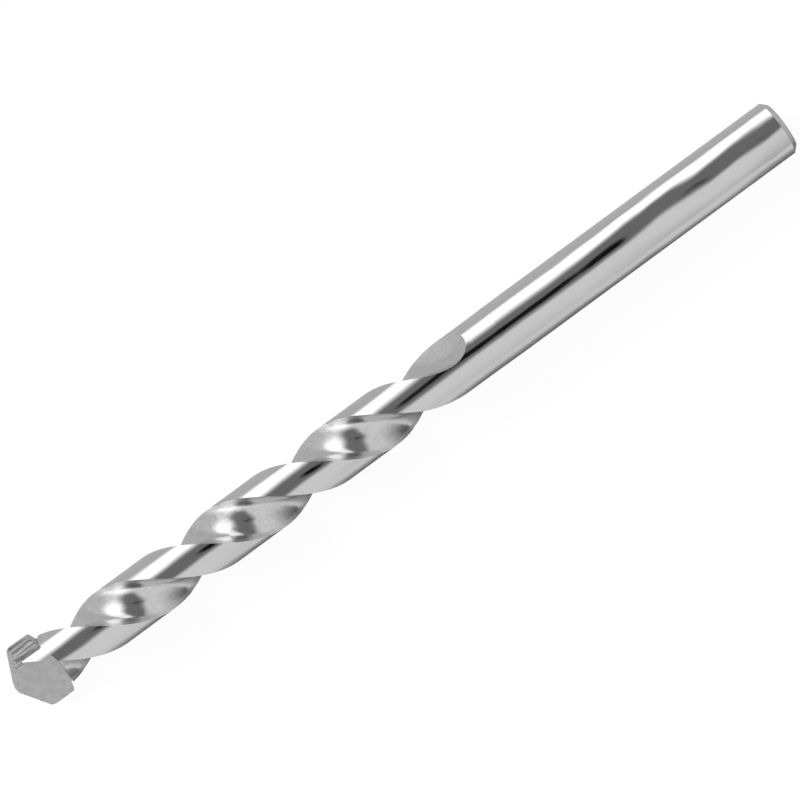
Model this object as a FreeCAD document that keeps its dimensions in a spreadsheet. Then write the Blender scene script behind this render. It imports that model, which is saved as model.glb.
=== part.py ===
import FreeCAD, Part
import math
import os
import Sketcher

# Masonry drill bit: a fluted steel bar with a carbide plate brazed into a slot across its nose.
# Every piece is drawn in one drilling frame: the point at the origin, Z along the bit's axis
# towards the shank, X across the carbide plate and Y through its thickness.
# lay_down() then puts the bit on its side, along X, rolled until the plate touches the ground.

SIZES = [
    ("overall_length", 120.0),
    ("shank_diameter", 7.7),
    ("end_chamfer", 0.7),
    ("land_diameter", 7.6),
    ("neck_length", 4.0),
    ("neck_gap", 0.3),
    ("cutting_diameter", 10.3),
    ("tip_thickness", 2.5),
    ("tip_height", 6.5),
    ("tip_rear_radius", 16.0),
    ("shoulder_radius", 1.0),
    ("rear_corner_radius", 0.4),
    ("point_angle", 130.0),
    ("edge_relief", 6.0),
    ("heel_relief", 30.0),
    ("nose_setback", 1.4),
    ("nose_relief", 34.0),
    ("braze_gap", 0.08),
    ("gash_overrun", 0.6),
    ("gash_radius", 5.0),
    ("gash_offset", 0.6),
    ("gash_edge", 2.7),
    ("gash_wing_rise", 0.15),
    ("rake_depth", 0.6),
    ("flute_lead", 34.8),
    ("flute_face_angle", 51.2),
    ("flute_radius", 5.2),
    ("web_thickness", 2.8),
    ("flute_end", 71.7),
    ("run_out_length", 10.2),
    ("run_out_lag", 0.4),
    ("run_out_power", 4.0),
]

RUN_OUT_STEPS = 8
RUN_OUT_OVERSHOOT = 1.1
FLUTE_COUNT = 2
NEAR = 1e-4

doc = FreeCAD.newDocument("masonry_drill_bit")
sheet = doc.addObject("Spreadsheet::Sheet", "Sizes")
for row, (alias, value) in enumerate(SIZES, start=1):
    sheet.set("A%d" % row, alias)
    sheet.set("B%d" % row, str(value))
    sheet.setAlias("B%d" % row, alias)
doc.recompute()

# Lengths and slopes that several sketches share, as expressions on the sheet.
SHANK_RADIUS = "Sizes.shank_diameter / 2"
LAND_RADIUS = "Sizes.land_diameter / 2"
NECK_START = "(Sizes.flute_end + Sizes.neck_gap)"
CLEAR = "Sizes.cutting_diameter"
FAR = "2 * Sizes.cutting_diameter"
POINT_SLOPE = "(90 - Sizes.point_angle / 2)"
RAKE_FACE = "(Sizes.tip_thickness / 2 - Sizes.rake_depth)"
TIP_HALF = "sqrt(Sizes.cutting_diameter ^ 2 / 4 - %s ^ 2)" % RAKE_FACE
EDGE_LEAD = "(Sizes.tip_thickness / 2 * tan(Sizes.edge_relief))"
TURN_RATE = "(360 / Sizes.flute_lead)"
RUN_OUT_START = "(Sizes.flute_end - Sizes.run_out_length)"
CORNER_ANGLE = "asin(Sizes.tip_thickness / Sizes.land_diameter) / 1 deg"
FLUTE_TURN = "(180 - %s - Sizes.flute_face_angle)" % CORNER_ANGLE


def size(alias):
    """The value of one named size."""
    return float(sheet.get(alias))


def origin_feature(body, role):
    """One of the body's own origin planes or axes."""
    return next(item for item in body.Origin.OriginFeatures if item.Role == role)


def new_body(name):
    """An empty body, named after its sub-part."""
    body = doc.addObject("PartDesign::Body", name)
    body.Label = name
    return body


def new_sketch(body, name, plane):
    """A sketch that lies flat on one of the body's origin planes."""
    sketch = body.newObject("Sketcher::SketchObject", name)
    sketch.AttachmentSupport = [(origin_feature(body, plane), "")]
    sketch.MapMode = "FlatFace"
    return sketch


def number(sketch, expression):
    """What an expression is worth now, for the first draft of a sketch."""
    value = sketch.evalExpression(expression)
    return float(getattr(value, "Value", value))


def pin_point(sketch, geometry, end, across, up):
    """Fix a point by its two distances from the sketch's origin."""
    for kind, axis, expression in (("DistanceX", -2, across), ("DistanceY", -1, up)):
        if expression == "0":
            sketch.addConstraint(Sketcher.Constraint("PointOnObject", geometry, end, axis))
            continue
        place = number(sketch, expression)
        index = sketch.addConstraint(Sketcher.Constraint(kind, -1, 1, geometry, end, place))
        sketch.setExpression("Constraints[%d]" % index, expression)


def draw_outline(sketch, corners, crowns=None):
    """A closed outline through corners; crowns maps a side's number to its outward radius."""
    crowns = crowns or {}
    points = [FreeCAD.Vector(number(sketch, x), number(sketch, y), 0) for x, y in corners]
    for side, start in enumerate(points):
        end = points[(side + 1) % len(points)]
        if side in crowns:
            radius = number(sketch, crowns[side])
            middle = (start + end) / 2
            half = (end - start).Length / 2
            inward = FreeCAD.Vector(start.y - end.y, end.x - start.x, 0).normalize()
            centre = middle + inward * math.sqrt(radius ** 2 - half ** 2)
            circle = Part.Circle(centre, FreeCAD.Vector(0, 0, 1), radius)
            first = math.atan2(start.y - centre.y, start.x - centre.x)
            last = math.atan2(end.y - centre.y, end.x - centre.x)
            sketch.addGeometry(Part.ArcOfCircle(circle, first, last), False)
        else:
            sketch.addGeometry(Part.LineSegment(start, end), False)
    for side in range(len(points)):
        following = (side + 1) % len(points)
        sketch.addConstraint(Sketcher.Constraint("Coincident", side, 2, following, 1))
    for side, (across, up) in enumerate(corners):
        pin_point(sketch, side, 1, across, up)
    for side, radius in crowns.items():
        index = sketch.addConstraint(Sketcher.Constraint("Radius", side, number(sketch, radius)))
        sketch.setExpression("Constraints[%d]" % index, radius)


def ground_pocket(body, name, profile):
    """Grind one side of the point: a profile across the thickness, run along the cutting edge."""
    sketch = new_sketch(body, name + "_profile", "YZ_Plane")
    tilt = FreeCAD.Rotation(FreeCAD.Vector(1, 0, 0), -number(sketch, POINT_SLOPE))
    sketch.AttachmentOffset = FreeCAD.Placement(FreeCAD.Vector(), tilt)
    sketch.setExpression("AttachmentOffset.Rotation.Angle", "-" + POINT_SLOPE)
    draw_outline(sketch, profile)
    pocket = body.newObject("PartDesign::Pocket", name)
    pocket.Profile = sketch
    pocket.Type = "ThroughAll"
    pocket.Midplane = True
    return pocket


def repeat_round_axis(body, name, features):
    """Repeat features once for each flute, evenly round the axis."""
    pattern = body.newObject("PartDesign::PolarPattern", name)
    pattern.Originals = features
    pattern.Axis = (origin_feature(body, "Z_Axis"), [""])
    pattern.Angle = 360
    pattern.Occurrences = FLUTE_COUNT
    body.Tip = pattern
    return pattern


def turned_bar(body):
    """The bar's turned outside: the lands, a faint neck up to the shank, and the end chamfer."""
    sketch = new_sketch(body, "bar_profile", "XZ_Plane")
    draw_outline(sketch, [
        ("0", "0"),
        (LAND_RADIUS, "0"),
        (LAND_RADIUS, NECK_START),
        (SHANK_RADIUS, NECK_START + " + Sizes.neck_length"),
        (SHANK_RADIUS, "Sizes.overall_length - Sizes.end_chamfer"),
        (SHANK_RADIUS + " - Sizes.end_chamfer", "Sizes.overall_length"),
        ("0", "Sizes.overall_length"),
    ])
    bar = body.newObject("PartDesign::Revolution", "turned_bar")
    bar.Profile = sketch
    bar.ReferenceAxis = (sketch, ["V_Axis"])
    bar.Angle = 360
    return bar


def flute_circle(body, name, height, turn, lift):
    """The flute's cross-section at one height: a circle that dips into the bar to the web."""
    sketch = new_sketch(body, name, "XY_Plane")
    sketch.AttachmentOffset = FreeCAD.Placement(
        FreeCAD.Vector(0, 0, number(sketch, height)),
        FreeCAD.Rotation(FreeCAD.Vector(0, 0, 1), number(sketch, turn)),
    )
    sketch.setExpression("AttachmentOffset.Base.z", height)
    sketch.setExpression("AttachmentOffset.Rotation.Angle", turn)
    reach = "Sizes.web_thickness / 2 + Sizes.flute_radius + " + lift
    centre = FreeCAD.Vector(number(sketch, reach), 0, 0)
    circle = Part.Circle(centre, FreeCAD.Vector(0, 0, 1), size("flute_radius"))
    sketch.addGeometry(circle, False)
    pin_point(sketch, 0, 3, reach, "0")
    index = sketch.addConstraint(Sketcher.Constraint("Radius", 0, size("flute_radius")))
    sketch.setExpression("Constraints[%d]" % index, "Sizes.flute_radius")
    return sketch


def helical_flute(body):
    """One right-hand flute of even depth, from ahead of the nose to where the run-out begins."""
    start = "-Sizes.nose_setback"
    turn = "%s + %s * (%s - Sizes.tip_height)" % (FLUTE_TURN, TURN_RATE, start)
    section = flute_circle(body, "flute_section", start, turn, "0")
    flute = body.newObject("PartDesign::SubtractiveHelix", "flute")
    flute.Profile = section
    flute.ReferenceAxis = (origin_feature(body, "Z_Axis"), [""])
    flute.Mode = "pitch-height-angle"
    flute.setExpression("Pitch", "Sizes.flute_lead")
    flute.setExpression("Height", "%s + Sizes.nose_setback" % RUN_OUT_START)
    flute.LeftHanded = False
    flute.Reversed = False
    return flute


def flute_run_out(body):
    """The cutter's way out: the section turns ever less and climbs ever faster till it is clear."""
    sections = []
    for step in range(RUN_OUT_STEPS + 1):
        share = RUN_OUT_OVERSHOOT * step / RUN_OUT_STEPS
        height = "%s + %r * Sizes.run_out_length" % (RUN_OUT_START, share)
        slowed = "(%r - Sizes.run_out_lag * %r)" % (share, share ** 2)
        travelled = "(%s - Sizes.tip_height + %s * Sizes.run_out_length)" % (RUN_OUT_START, slowed)
        turn = "%s + %s * %s" % (FLUTE_TURN, TURN_RATE, travelled)
        depth = "(Sizes.land_diameter - Sizes.web_thickness) / 2"
        lift = "%s * %r ^ Sizes.run_out_power" % (depth, share)
        sections.append(flute_circle(body, "run_out_section_%d" % step, height, turn, lift))
    run_out = body.newObject("PartDesign::SubtractiveLoft", "run_out")
    run_out.Profile = sections[0]
    run_out.Sections = sections[1:]
    return run_out


def rake_gash(body):
    """The flat ground in front of one cutting edge and into the plate's face, with a round end."""
    sketch = new_sketch(body, "gash_outline", "XZ_Plane")
    floor = "-" + RAKE_FACE
    sketch.AttachmentOffset = FreeCAD.Placement(
        FreeCAD.Vector(0, 0, number(sketch, floor)), FreeCAD.Rotation()
    )
    sketch.setExpression("AttachmentOffset.Base.z", floor)
    centre = "(Sizes.tip_height + Sizes.gash_overrun - Sizes.gash_radius)"
    edge_rise = "sqrt(Sizes.gash_radius ^ 2 - (Sizes.gash_edge - Sizes.gash_offset) ^ 2)"
    wing_end = "(Sizes.tip_height - Sizes.gash_wing_rise)"
    wing_run = "sqrt(Sizes.gash_radius ^ 2 - (%s - %s) ^ 2)" % (wing_end, centre)
    draw_outline(sketch, [
        ("Sizes.gash_edge", "-" + CLEAR),
        ("Sizes.gash_edge", "%s + %s" % (centre, edge_rise)),
        ("Sizes.gash_offset - " + wing_run, wing_end),
        ("-" + CLEAR, wing_end),
        ("-" + CLEAR, "-" + CLEAR),
    ], crowns={1: "Sizes.gash_radius"})
    gash = body.newObject("PartDesign::Pocket", "rake_gash")
    gash.Profile = sketch
    gash.Type = "ThroughAll"
    return gash


def build_blank():
    """The steel before its slot: bar, ground nose, flutes, run-outs and rake gashes."""
    body = new_body("steel_blank")
    turned_bar(body)
    doc.recompute()
    start = "cos(%s) * Sizes.nose_setback" % POINT_SLOPE
    face = "Sizes.tip_thickness / 2"
    rise = "cos(%s) * (%s - %s) * tan(Sizes.nose_relief)" % (POINT_SLOPE, CLEAR, face)
    nose = ground_pocket(body, "nose_facet", [
        ("-" + CLEAR, "-" + FAR),
        (CLEAR, "-" + FAR),
        (CLEAR, start + " + " + rise),
        (face, start),
        ("-" + CLEAR, start),
    ])
    doc.recompute()
    flute = helical_flute(body)
    doc.recompute()
    run_out = flute_run_out(body)
    doc.recompute()
    gash = rake_gash(body)
    doc.recompute()
    repeat_round_axis(body, "both_sides", [nose, flute, run_out, gash])
    doc.recompute()
    return body


def build_slot():
    """The slot milled across the nose, wider than the plate by the braze on each face."""
    body = new_body("slot_space")
    sketch = new_sketch(body, "slot_outline", "XZ_Plane")
    centre = "Sizes.tip_height - Sizes.tip_rear_radius"
    radius = "(Sizes.tip_rear_radius + Sizes.braze_gap)"
    rear = "%s + sqrt(%s ^ 2 - Sizes.land_diameter ^ 2)" % (centre, radius)
    draw_outline(sketch, [
        ("-Sizes.land_diameter", "-" + CLEAR),
        ("Sizes.land_diameter", "-" + CLEAR),
        ("Sizes.land_diameter", rear),
        ("-Sizes.land_diameter", rear),
    ], crowns={2: radius})
    pad = body.newObject("PartDesign::Pad", "slot_width")
    pad.Profile = sketch
    pad.Midplane = True
    pad.setExpression("Length", "Sizes.tip_thickness + 2 * Sizes.braze_gap")
    doc.recompute()
    return body


def edges_through(shape, across, up):
    """Names of the edges through the plate's thickness at a distance across and a height."""
    names = []
    for index, edge in enumerate(shape.Edges, start=1):
        first, last = (vertex.Point for vertex in edge.Vertexes)
        runs_through = abs(first.x - last.x) < NEAR and abs(first.z - last.z) < NEAR
        if runs_through and abs(abs(first.x) - across) < NEAR and abs(first.z - up) < NEAR:
            names.append("Edge%d" % index)
    return names


def build_tip():
    """The carbide plate: a roof-shaped front, a rounded rear, and facets ground on its point."""
    body = new_body("carbide_tip")
    sketch = new_sketch(body, "plate_outline", "XZ_Plane")
    ridge = "-" + EDGE_LEAD
    shoulder = "%s * tan(%s) - %s" % (TIP_HALF, POINT_SLOPE, EDGE_LEAD)
    centre = "Sizes.tip_height - Sizes.tip_rear_radius"
    rear = "%s + sqrt(Sizes.tip_rear_radius ^ 2 - (%s) ^ 2)" % (centre, TIP_HALF)
    draw_outline(sketch, [
        ("0", ridge),
        (TIP_HALF, shoulder),
        (TIP_HALF, rear),
        ("-" + TIP_HALF, rear),
        ("-" + TIP_HALF, shoulder),
    ], crowns={2: "Sizes.tip_rear_radius"})
    plate = body.newObject("PartDesign::Pad", "plate")
    plate.Profile = sketch
    plate.Midplane = True
    plate.setExpression("Length", "Sizes.tip_thickness")
    doc.recompute()
    half_width = number(sketch, TIP_HALF)
    shoulders = body.newObject("PartDesign::Fillet", "rounded_shoulders")
    shoulders.Base = (plate, edges_through(plate.Shape, half_width, number(sketch, shoulder)))
    shoulders.setExpression("Radius", "Sizes.shoulder_radius")
    doc.recompute()
    corners = body.newObject("PartDesign::Fillet", "rounded_rear_corners")
    corners.Base = (shoulders, edges_through(shoulders.Shape, half_width, number(sketch, rear)))
    corners.setExpression("Radius", "Sizes.rear_corner_radius")
    doc.recompute()
    edge_fall = "cos(%s) * %s * tan(Sizes.edge_relief)" % (POINT_SLOPE, CLEAR)
    heel_rise = "cos(%s) * %s * tan(Sizes.heel_relief)" % (POINT_SLOPE, CLEAR)
    facet = ground_pocket(body, "point_facets", [
        ("-" + CLEAR, "-" + FAR),
        (CLEAR, "-" + FAR),
        (CLEAR, heel_rise),
        ("0", "0"),
        ("-" + CLEAR, "-" + edge_fall),
    ])
    doc.recompute()
    gash = rake_gash(body)
    doc.recompute()
    repeat_round_axis(body, "both_wings", [facet, gash])
    doc.recompute()
    return body


def lay_down(bodies):
    """Lay the bit along X on its side, rolled until the plate's lower heel corner touches down."""
    rake_face = size("tip_thickness") / 2 - size("rake_depth")
    across = math.sqrt(size("cutting_diameter") ** 2 / 4 - rake_face ** 2)
    heel = math.hypot(across, size("tip_thickness") / 2)
    reach = min(1.0, size("shank_diameter") / 2 / heel)
    roll = math.degrees(math.asin(reach) - math.atan2(size("tip_thickness") / 2, across))
    axis_forward = FreeCAD.Rotation(FreeCAD.Vector(1, 1, 1), 120)
    rolled = FreeCAD.Rotation(FreeCAD.Vector(1, 0, 0), roll).multiply(axis_forward)
    point = FreeCAD.Vector(-size("overall_length") / 2, 0, size("shank_diameter") / 2)
    for body in bodies:
        body.Placement = FreeCAD.Placement(point, rolled)


def boolean(kind, name, base, tool):
    """One piece from two others, by a boolean of their shapes."""
    result = doc.addObject("Part::" + kind, name)
    result.Label = name
    result.Base = base
    result.Tool = tool
    return result


def check_and_write(pieces):
    """Stop if anything failed to build, then write each sub-part to its own file."""
    for item in doc.Objects:
        if "Invalid" in item.State or "Error" in item.State:
            raise RuntimeError("%s failed to build" % item.Name)
    os.makedirs("parts", exist_ok=True)
    for piece in pieces:
        shape = piece.Shape
        if shape.isNull() or not shape.isValid() or len(shape.Solids) != 1:
            raise RuntimeError("%s is not one sound solid" % piece.Label)
        shape.exportStep("parts/%s.step" % piece.Label)
        box = shape.BoundBox
        print("%s: %.2f mm3, X %.3f to %.3f, Y %.3f to %.3f, Z %.3f to %.3f" % (
            piece.Label, shape.Volume, box.XMin, box.XMax, box.YMin, box.YMax, box.ZMin, box.ZMax))


blank = build_blank()
slot = build_slot()
tip = build_tip()
lay_down([blank, slot, tip])
doc.recompute()
steel = boolean("Cut", "steel_body", blank, slot)
slot_fill = boolean("Common", "slot_fill", blank, slot)
braze = boolean("Cut", "braze_joint", slot_fill, tip)
doc.recompute()
check_and_write([steel, tip, braze])
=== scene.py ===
import math

import bpy
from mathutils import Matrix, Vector

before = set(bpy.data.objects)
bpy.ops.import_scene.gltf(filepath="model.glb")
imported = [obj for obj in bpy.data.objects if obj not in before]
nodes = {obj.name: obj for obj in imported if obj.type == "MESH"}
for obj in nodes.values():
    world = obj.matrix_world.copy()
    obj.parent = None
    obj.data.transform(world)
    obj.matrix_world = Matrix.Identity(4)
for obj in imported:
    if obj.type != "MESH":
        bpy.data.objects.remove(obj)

# All lengths are in metres, in the frame of the solids: the bit lies along X on the floor, Z = 0.
# The sizes repeat part.py's: the axis, the lands, the plate's ground faces and sides, the gashes'
# end behind the point, the plate's roll and the flutes' lead.
MM = 0.001
AXIS_HEIGHT = 3.85 * MM
LAND_RADIUS = 3.80 * MM
POINT_X = -60.0 * MM
RAKE_FACE = 0.65 * MM
SIDE_WIDTH = 5.109 * MM
GASH_END_X = POINT_X + 7.15 * MM
PLATE_ROLL = math.radians(33.30)
FLUTE_LEAD = 34.8 * MM

# The lands' polish: where one land's middle is on top, half a land in radians, and how much lower
# than a cylinder it lies one radian from its middle.
LAND_ON_TOP_X = -32.6 * MM
LAND_HALF_TURN = 0.70
LAND_CROWN = 0.26 * MM
LANDS_END_X = 4.0 * MM
LANDS_FADE = 16.0 * MM

STEEL_BUMP = 0.03 * MM
CARBIDE_BUMP = 0.01 * MM
BRAZE_BUMP = 0.02 * MM
GROUND_ROUGHNESS = 0.42
PIT_TONE = 0.26

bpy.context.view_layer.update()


IMAGE_TURN = math.radians(36.32)
CAMERA_DISTANCE = 380 * MM
CAMERA_LENS = 135.5
CAMERA_AIM = Vector((0.7 * MM, 0.56 * MM, AXIS_HEIGHT))


def add_camera():
    """Straight above the lying bit, turned until the bit runs from lower left to upper right."""
    data = bpy.data.cameras.new("camera")
    data.sensor_width = 36.0
    data.lens = CAMERA_LENS
    data.clip_start = 0.01
    data.clip_end = 10.0
    camera = bpy.data.objects.new("camera", data)
    bpy.context.scene.collection.objects.link(camera)
    camera.location = CAMERA_AIM + Vector((0.0, 0.0, CAMERA_DISTANCE))
    camera.rotation_euler = (0.0, 0.0, -IMAGE_TURN)
    bpy.context.scene.camera = camera


class Graph:
    """Short ways to add and join the nodes of one material or world."""

    def __init__(self, owner):
        owner.use_nodes = True
        self.tree = owner.node_tree
        self.tree.nodes.clear()

    def node(self, kind, **settings):
        made = self.tree.nodes.new(kind)
        for name, value in settings.items():
            setattr(made, name, value)
        return made

    def join(self, source, target):
        self.tree.links.new(source, target)

    def feed(self, socket, value):
        """Join a socket to another node's output, or set it to a plain value."""
        if isinstance(value, bpy.types.NodeSocket):
            self.join(value, socket)
        else:
            socket.default_value = value

    def math(self, operation, *values):
        made = self.node("ShaderNodeMath", operation=operation)
        for socket, value in zip(made.inputs, values):
            self.feed(socket, value)
        return made.outputs[0]

    def between(self, value, low, high, out_low=0.0, out_high=1.0):
        """A smooth step: value from low to high gives out_low to out_high."""
        made = self.node("ShaderNodeMapRange", interpolation_type="SMOOTHSTEP")
        for name, item in (("Value", value), ("From Min", low), ("From Max", high),
                           ("To Min", out_low), ("To Max", out_high)):
            self.feed(made.inputs[name], item)
        return made.outputs["Result"]

    def times(self, first, second):
        return self.math("MULTIPLY", first, second)

    def plus(self, first, second):
        return self.math("ADD", first, second)

    def minus(self, first, second):
        return self.math("SUBTRACT", first, second)

    def split(self, vector):
        """The three parts of a vector."""
        made = self.node("ShaderNodeSeparateXYZ")
        self.join(vector, made.inputs[0])
        return made.outputs

    def noise(self, vector, scale, detail, roughness):
        """Noise of so many cells a metre."""
        made = self.node("ShaderNodeTexNoise")
        self.feed(made.inputs["Vector"], vector)
        for name, item in (("Scale", scale), ("Detail", detail), ("Roughness", roughness),
                           ("Distortion", 0.0)):
            made.inputs[name].default_value = item
        return made.outputs["Fac"]

    def streaks(self, vector, along, across, detail, roughness):
        """Noise with so many cells a metre along the bit, and across it."""
        made = self.node("ShaderNodeMapping", vector_type="POINT")
        self.feed(made.inputs["Vector"], vector)
        made.inputs["Scale"].default_value = (along, across, across)
        return self.noise(made.outputs["Vector"], 1.0, detail, roughness)

    def mottled(self, vector, scale, low, high):
        """A factor from low to high that varies in soft patches."""
        return self.between(self.noise(vector, scale, 3.0, 0.6), 0.3, 0.7, low, high)

    def mix(self, share, first, second):
        """A number between first and second."""
        made = self.node("ShaderNodeMix", data_type="FLOAT")
        self.feed(made.inputs[0], share)
        self.feed(made.inputs[2], first)
        self.feed(made.inputs[3], second)
        return made.outputs[0]

    def grey(self, value):
        made = self.node("ShaderNodeCombineColor")
        for socket in made.inputs:
            self.feed(socket, value)
        return made.outputs[0]

    def surface(self, shader):
        output = self.node("ShaderNodeOutputMaterial")
        self.join(shader.outputs[0], output.inputs["Surface"])

    def metal(self, metallic, colour, roughness, height, strength, distance):
        """A metal surface with its colour, roughness and relief."""
        shader = self.node("ShaderNodeBsdfPrincipled")
        shader.inputs["Metallic"].default_value = metallic
        self.join(colour, shader.inputs["Base Color"])
        self.join(roughness, shader.inputs["Roughness"])
        bump = self.node("ShaderNodeBump")
        bump.inputs["Strength"].default_value = strength
        bump.inputs["Distance"].default_value = distance
        self.join(height, bump.inputs["Height"])
        self.join(bump.outputs[0], shader.inputs["Normal"])
        self.surface(shader)


def bit_coordinates(graph):
    """Object coordinates, the place along the bit, and the place from its axis, across and up."""
    place = graph.node("ShaderNodeTexCoord").outputs["Object"]
    along, across, height = graph.split(place)
    return place, along, across, graph.minus(height, AXIS_HEIGHT)


def plate_depth(graph, across, lift):
    """The distance from the axis through the carbide plate's thickness."""
    return graph.minus(graph.times(lift, math.cos(PLATE_ROLL)),
                       graph.times(across, math.sin(PLATE_ROLL)))


def plate_width(graph, across, lift):
    """The distance from the axis along the carbide plate's width."""
    return graph.plus(graph.times(across, math.cos(PLATE_ROLL)),
                      graph.times(lift, math.sin(PLATE_ROLL)))


def land_crown(graph, along, across, lift):
    """How much lower the lands' polish lies away from their middles, in steps of the bump."""
    angle = graph.math("ARCTAN2", lift, across)
    turns = graph.times(graph.minus(along, LAND_ON_TOP_X), 2.0 / FLUTE_LEAD)
    turns = graph.minus(graph.math("DIVIDE", angle, math.pi), turns)
    off_middle = graph.times(graph.minus(graph.math("FRACT", turns), 0.5), math.pi)
    drop = graph.math("MINIMUM", graph.times(off_middle, off_middle), LAND_HALF_TURN ** 2)
    return graph.times(drop, graph.between(along, LANDS_END_X - LANDS_FADE, LANDS_END_X,
                                           LAND_CROWN / STEEL_BUMP, 0.0))


def plated_steel():
    """Bright plated steel: mirror-like lands and shank, softer flutes, ground gashes."""
    material = bpy.data.materials.new("plated_steel")
    graph = Graph(material)
    place, along, across, lift = bit_coordinates(graph)
    radius = graph.math("SQRT", graph.plus(graph.times(across, across), graph.times(lift, lift)))
    depth = graph.math("ABSOLUTE", plate_depth(graph, across, lift))

    in_flute = graph.between(radius, LAND_RADIUS - 0.12 * MM, LAND_RADIUS - 0.04 * MM, 1.0, 0.0)
    on_face = graph.between(depth, RAKE_FACE + 0.02 * MM, RAKE_FACE + 0.06 * MM, 1.0, 0.0)
    near_head = graph.between(along, GASH_END_X, GASH_END_X + 0.15 * MM, 1.0, 0.0)
    ground = graph.times(on_face, near_head)

    drawn = graph.streaks(place, 900.0, 9000.0, 4.0, 0.6)
    cloud = graph.noise(place, 160.0, 3.0, 0.5)
    grind = graph.streaks(place, 9000.0, 1200.0, 3.0, 0.6)

    tone = graph.plus(graph.mix(drawn, 0.735, 0.775), graph.mix(cloud, 0.0, 0.04))
    tone = graph.times(tone, graph.mix(in_flute, 1.0, graph.mottled(place, 1900.0, 0.92, 1.03)))
    ground_tone = graph.times(graph.mottled(place, 1100.0, 0.90, 1.08),
                              graph.mix(grind, 0.64, 0.72))
    tone = graph.mix(ground, tone, ground_tone)

    # The flutes are duller than the lands, most of all near their edges.
    polish = graph.plus(graph.mix(cloud, 0.02, 0.09), graph.mix(drawn, 0.0, 0.05))
    dull = graph.between(radius, 2.9 * MM, 3.5 * MM, 0.07, 0.24)
    polish = graph.plus(polish, graph.times(in_flute, dull))

    # The shank's far end is wavy from use; the rest has fine drawing lines.
    wave = graph.streaks(place, 60.0, 150.0, 2.0, 0.4)
    worn = graph.between(along, 19.0 * MM, 36.0 * MM, 0.25, 26.0)
    relief = graph.plus(graph.times(wave, worn), graph.times(drawn, 0.012))
    relief = graph.minus(relief, land_crown(graph, along, across, lift))

    graph.metal(1.0, graph.grey(tone), graph.mix(ground, polish, GROUND_ROUGHNESS), relief,
                1.0, STEEL_BUMP)
    return material


def carbide():
    """Ground cemented carbide: matte grey, with small pits, and sintered streaks where uncut."""
    material = bpy.data.materials.new("carbide")
    graph = Graph(material)
    place, _, across, lift = bit_coordinates(graph)
    cloud = graph.noise(place, 1100.0, 3.0, 0.6)
    grind = graph.streaks(place, 12000.0, 1500.0, 3.0, 0.6)
    pit = graph.between(graph.noise(place, 2600.0, 2.0, 0.5), 0.69, 0.75)
    tone = graph.times(graph.mix(grind, 0.60, 0.68), graph.between(cloud, 0.3, 0.7, 0.90, 1.08))
    tone = graph.mix(pit, tone, PIT_TONE)

    # The plate is uncut behind each cutting face and on its outer sides.
    width = plate_width(graph, across, lift)
    toward_heel = graph.times(plate_depth(graph, across, lift), graph.math("SIGN", width))
    heel = graph.between(toward_heel, RAKE_FACE + 0.02 * MM, RAKE_FACE + 0.08 * MM)
    side = graph.between(graph.math("ABSOLUTE", width),
                         SIDE_WIDTH - 0.10 * MM, SIDE_WIDTH - 0.04 * MM)
    streak = graph.between(graph.streaks(place, 180.0, 2800.0, 1.0, 0.5), 0.40, 0.62, 0.52, 1.22)
    tone = graph.mix(graph.math("MAXIMUM", heel, side), tone, graph.times(tone, streak))

    relief = graph.minus(graph.times(grind, 0.5), pit)
    graph.metal(0.85, graph.grey(tone), graph.mix(cloud, 0.38, 0.50), relief, 0.6, CARBIDE_BUMP)
    return material


def braze():
    """The thin solder seam: dull, slightly yellow, uneven."""
    material = bpy.data.materials.new("braze")
    graph = Graph(material)
    place = graph.node("ShaderNodeTexCoord").outputs["Object"]
    cloud = graph.noise(place, 1500.0, 4.0, 0.6)
    ramp = graph.node("ShaderNodeValToRGB")
    ramp.color_ramp.elements[0].color = (0.30, 0.27, 0.22, 1.0)
    ramp.color_ramp.elements[1].color = (0.60, 0.56, 0.46, 1.0)
    graph.join(cloud, ramp.inputs["Fac"])
    graph.metal(1.0, ramp.outputs["Color"], graph.mix(cloud, 0.30, 0.55), cloud, 0.5, BRAZE_BUMP)
    return material


FLOOR_HALF = 3.0
FLOOR_PAINT = 0.86
FLOOR_GLOW = 1.09
FLOOR_SEEN = 0.87
FLOOR_REFLECTED_GLOW = 0.30


def add_floor():
    """A plain white floor that keeps a faint shadow. Past that shadow on its -Y side it glows for
    glossy rays only: painted light that the metal mirrors.
    """
    mesh = bpy.data.meshes.new("floor")
    corners = [(x * FLOOR_HALF, y * FLOOR_HALF, 0.0)
               for x, y in ((-1, -1), (1, -1), (1, 1), (-1, 1))]
    mesh.from_pydata(corners, [], [(0, 1, 2, 3)])
    floor = bpy.data.objects.new("floor", mesh)
    bpy.context.scene.collection.objects.link(floor)
    material = bpy.data.materials.new("floor")
    graph = Graph(material)
    paint = graph.node("ShaderNodeBsdfDiffuse")
    paint.inputs["Color"].default_value = (FLOOR_PAINT, FLOOR_PAINT, FLOOR_PAINT, 1.0)
    glow = graph.node("ShaderNodeEmission")
    glow.inputs["Color"].default_value = (1.0, 1.0, 1.0, 1.0)
    glow.inputs["Strength"].default_value = FLOOR_GLOW
    across = graph.split(graph.node("ShaderNodeTexCoord").outputs["Object"])[1]
    # Painted light: beyond -19 mm on the -Y side the floor glows in reflections only, so the
    # metal's lower rim shows a painted reflection.
    reflected_glow_share = graph.between(across, -19.0 * MM, -12.0 * MM, FLOOR_REFLECTED_GLOW, 0.0)
    ray = graph.node("ShaderNodeLightPath")
    seen = graph.plus(graph.times(ray.outputs["Is Camera Ray"], FLOOR_SEEN),
                      graph.times(ray.outputs["Is Glossy Ray"], reflected_glow_share))
    blend = graph.node("ShaderNodeMixShader")
    graph.join(seen, blend.inputs[0])
    graph.join(paint.outputs[0], blend.inputs[1])
    graph.join(glow.outputs[0], blend.inputs[2])
    graph.surface(blend)
    mesh.materials.append(material)


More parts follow.
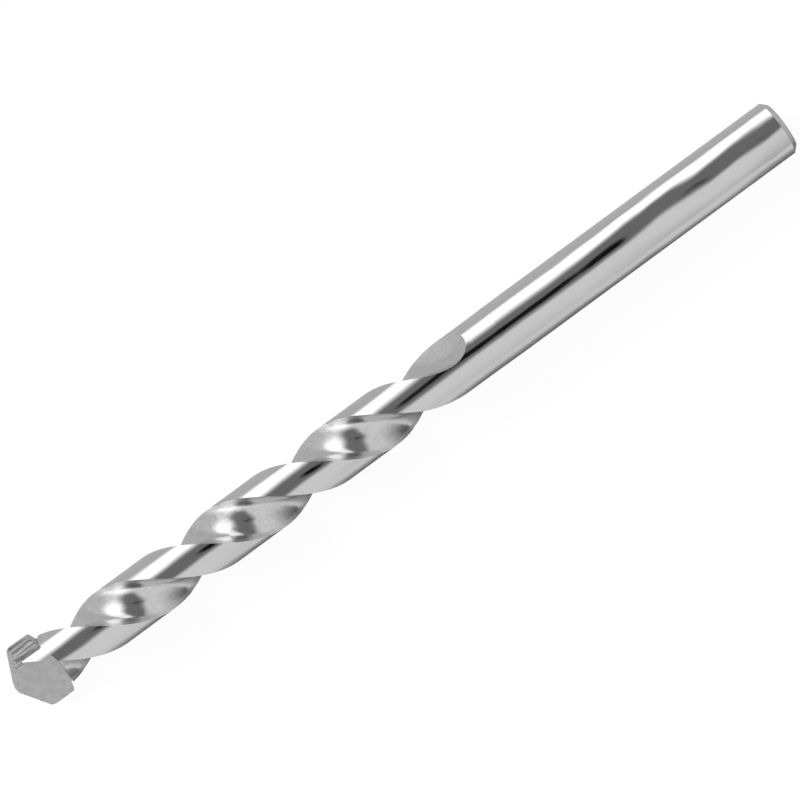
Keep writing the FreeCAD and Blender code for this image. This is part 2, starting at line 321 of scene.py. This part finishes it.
# The light tent's levels, where 1 is white, and its turn from the bit's length.
TENT_TURN = math.radians(43.0)
GAP_LEVEL = 0.165
LENS_LEVEL = 0.002
KEY_LEVEL = 1.27
KEY_DIM_LEVEL = 0.84
KEY_FAR_LEVEL = 0.58
FILL_LEVEL = 0.72
FILL_CORNER_LEVEL = 0.05
END_LEVEL = 0.74
SKY_ON_DIFFUSE = 0.30

# The lens, in the X and Y parts of a direction, and the fill's dark corner, as one direction.
LENS_X, LENS_Y = 0.028, 0.055
LENS_HALF_X, LENS_HALF_Y = 0.056, 0.155
CORNER_X, CORNER_Y = 0.766, -0.643


def tent_angles(graph, x, y, z):
    """A direction's angle along the tent's gap, and to its side from straight up, in degrees."""
    cosine, sine = math.cos(TENT_TURN), math.sin(TENT_TURN)
    degrees = math.degrees(1.0)

    # The gap runs straight along the bit overhead and swings round towards the tent's corners.
    swung = graph.times(x, graph.between(graph.math("ABSOLUTE", x), 0.0, 0.16))
    in_line = graph.plus(graph.times(x, cosine), graph.times(y, sine))
    to_side = graph.minus(graph.times(y, cosine), graph.times(swung, sine))
    return (graph.times(graph.math("ARCSINE", in_line), degrees),
            graph.times(graph.math("ARCTAN2", to_side, z), degrees))


def key_sheet(graph, along, aside):
    """Where the key sheet is, and its light: brighter towards +X, dimmer past its far edge."""
    level = graph.between(along, -26.0, 8.0, KEY_DIM_LEVEL, KEY_LEVEL)
    level = graph.times(level, graph.between(along, 6.0, 22.0, 1.0, 1.2))
    level = graph.times(level, graph.between(along, 40.0, 65.0, 1.0, 0.75))

    # Its near edge is bent and its far edge slanted.
    near_edge = graph.minus(aside, graph.between(along, -35.0, -10.0, 0.0, 5.0))
    near_edge = graph.minus(near_edge, graph.between(along, 10.0, 64.0, 0.0, 20.0))
    near = graph.between(near_edge, 13.0, 33.0)
    past_middle = graph.math("MAXIMUM", graph.plus(along, 9.0), 0.0)
    far_edge = graph.minus(aside, graph.times(past_middle, 0.65))
    far = graph.between(far_edge, 36.0, 58.0, 1.0, 0.0)
    far_level = graph.between(along, -36.0, -10.0, 0.84 * KEY_FAR_LEVEL, KEY_FAR_LEVEL)
    return near, graph.times(near, graph.mix(far, far_level, level))


def fill_sheet(graph, x, y, aside):
    """Where the fill sheet is, and its light: even, and dark towards one lower corner."""
    edge = graph.minus(aside, graph.between(graph.math("ABSOLUTE", x), 0.12, 0.30, 0.0, 5.0))
    near = graph.between(edge, -19.0, -6.0, 1.0, 0.0)
    corner = graph.plus(graph.times(x, CORNER_X), graph.times(y, CORNER_Y))
    corner = graph.times(graph.math("ARCSINE", corner), math.degrees(1.0))
    return near, graph.times(near, graph.between(corner, 28.0, 88.0, FILL_LEVEL, FILL_CORNER_LEVEL))


def gap_level(graph, x, y):
    """The light of the gap between the sheets, with the dark lens overhead."""
    lens_x = graph.math("DIVIDE", graph.minus(x, LENS_X), LENS_HALF_X)
    lens_y = graph.math("DIVIDE", graph.minus(y, LENS_Y), LENS_HALF_Y)
    from_lens = graph.math("SQRT", graph.plus(graph.times(lens_x, lens_x),
                                              graph.times(lens_y, lens_y)))
    return graph.between(from_lens, 0.65, 1.25, LENS_LEVEL, GAP_LEVEL)


def add_world():
    """A light tent: a white key sheet and a grey fill sheet, and the lens's dark gap between."""
    world = bpy.data.worlds.new("studio")
    bpy.context.scene.world = world
    graph = Graph(world)
    x, y, z = graph.split(graph.node("ShaderNodeTexCoord").outputs["Generated"])
    along, aside = tent_angles(graph, x, y, z)
    key_near, key = key_sheet(graph, along, aside)
    fill_near, fill = fill_sheet(graph, x, y, aside)
    uncovered = graph.minus(1.0, graph.plus(key_near, fill_near))
    light = graph.plus(graph.plus(key, fill), graph.times(uncovered, gap_level(graph, x, y)))

    # The tent's bright end towards -X.
    end_level = graph.times(graph.between(aside, -12.0, 26.0, END_LEVEL, 1.2 * KEY_LEVEL),
                            graph.between(aside, 40.0, 60.0, 1.0, 0.85))
    end_edge = graph.minus(along, graph.between(aside, 0.0, 26.0, -3.0, 8.0))
    light = graph.mix(graph.between(end_edge, -66.0, -34.0, 1.0, 0.0), light, end_level)

    # The floor gets less of it, since the lamp lights the floor too; the camera sees plain white.
    ray = graph.node("ShaderNodeLightPath")
    light = graph.times(light, graph.mix(ray.outputs["Is Diffuse Ray"], 1.0, SKY_ON_DIFFUSE))
    light = graph.mix(ray.outputs["Is Camera Ray"], light, 1.0)
    background = graph.node("ShaderNodeBackground")
    graph.join(graph.grey(light), background.inputs["Color"])
    background.inputs["Strength"].default_value = 1.0
    output = graph.node("ShaderNodeOutputWorld")
    graph.join(background.outputs[0], output.inputs["Surface"])


SUN_STRENGTH = 2.5
SUN_WIDTH = math.radians(35.0)
SUN_TILT = math.radians(62.0)


def add_key_lamp():
    """Soft light from the key sheet's side, so that the bit's shadow falls on the other."""
    data = bpy.data.lights.new("key", "SUN")
    data.energy = SUN_STRENGTH
    data.angle = SUN_WIDTH
    lamp = bpy.data.objects.new("key", data)
    bpy.context.scene.collection.objects.link(lamp)
    lamp.visible_glossy = False
    towards = Vector((-math.sin(TENT_TURN) * math.sin(SUN_TILT),
                      math.cos(TENT_TURN) * math.sin(SUN_TILT), math.cos(SUN_TILT)))
    lamp.rotation_euler = towards.to_track_quat("Z", "Y").to_euler()


add_camera()
add_floor()
add_world()
add_key_lamp()
for node, material in (("steel_body", plated_steel()), ("carbide_tip", carbide()),
                       ("braze_joint", braze())):
    for place in nodes[node].material_slots:
        place.material = material
bpy.context.scene.view_settings.view_transform = "Standard"
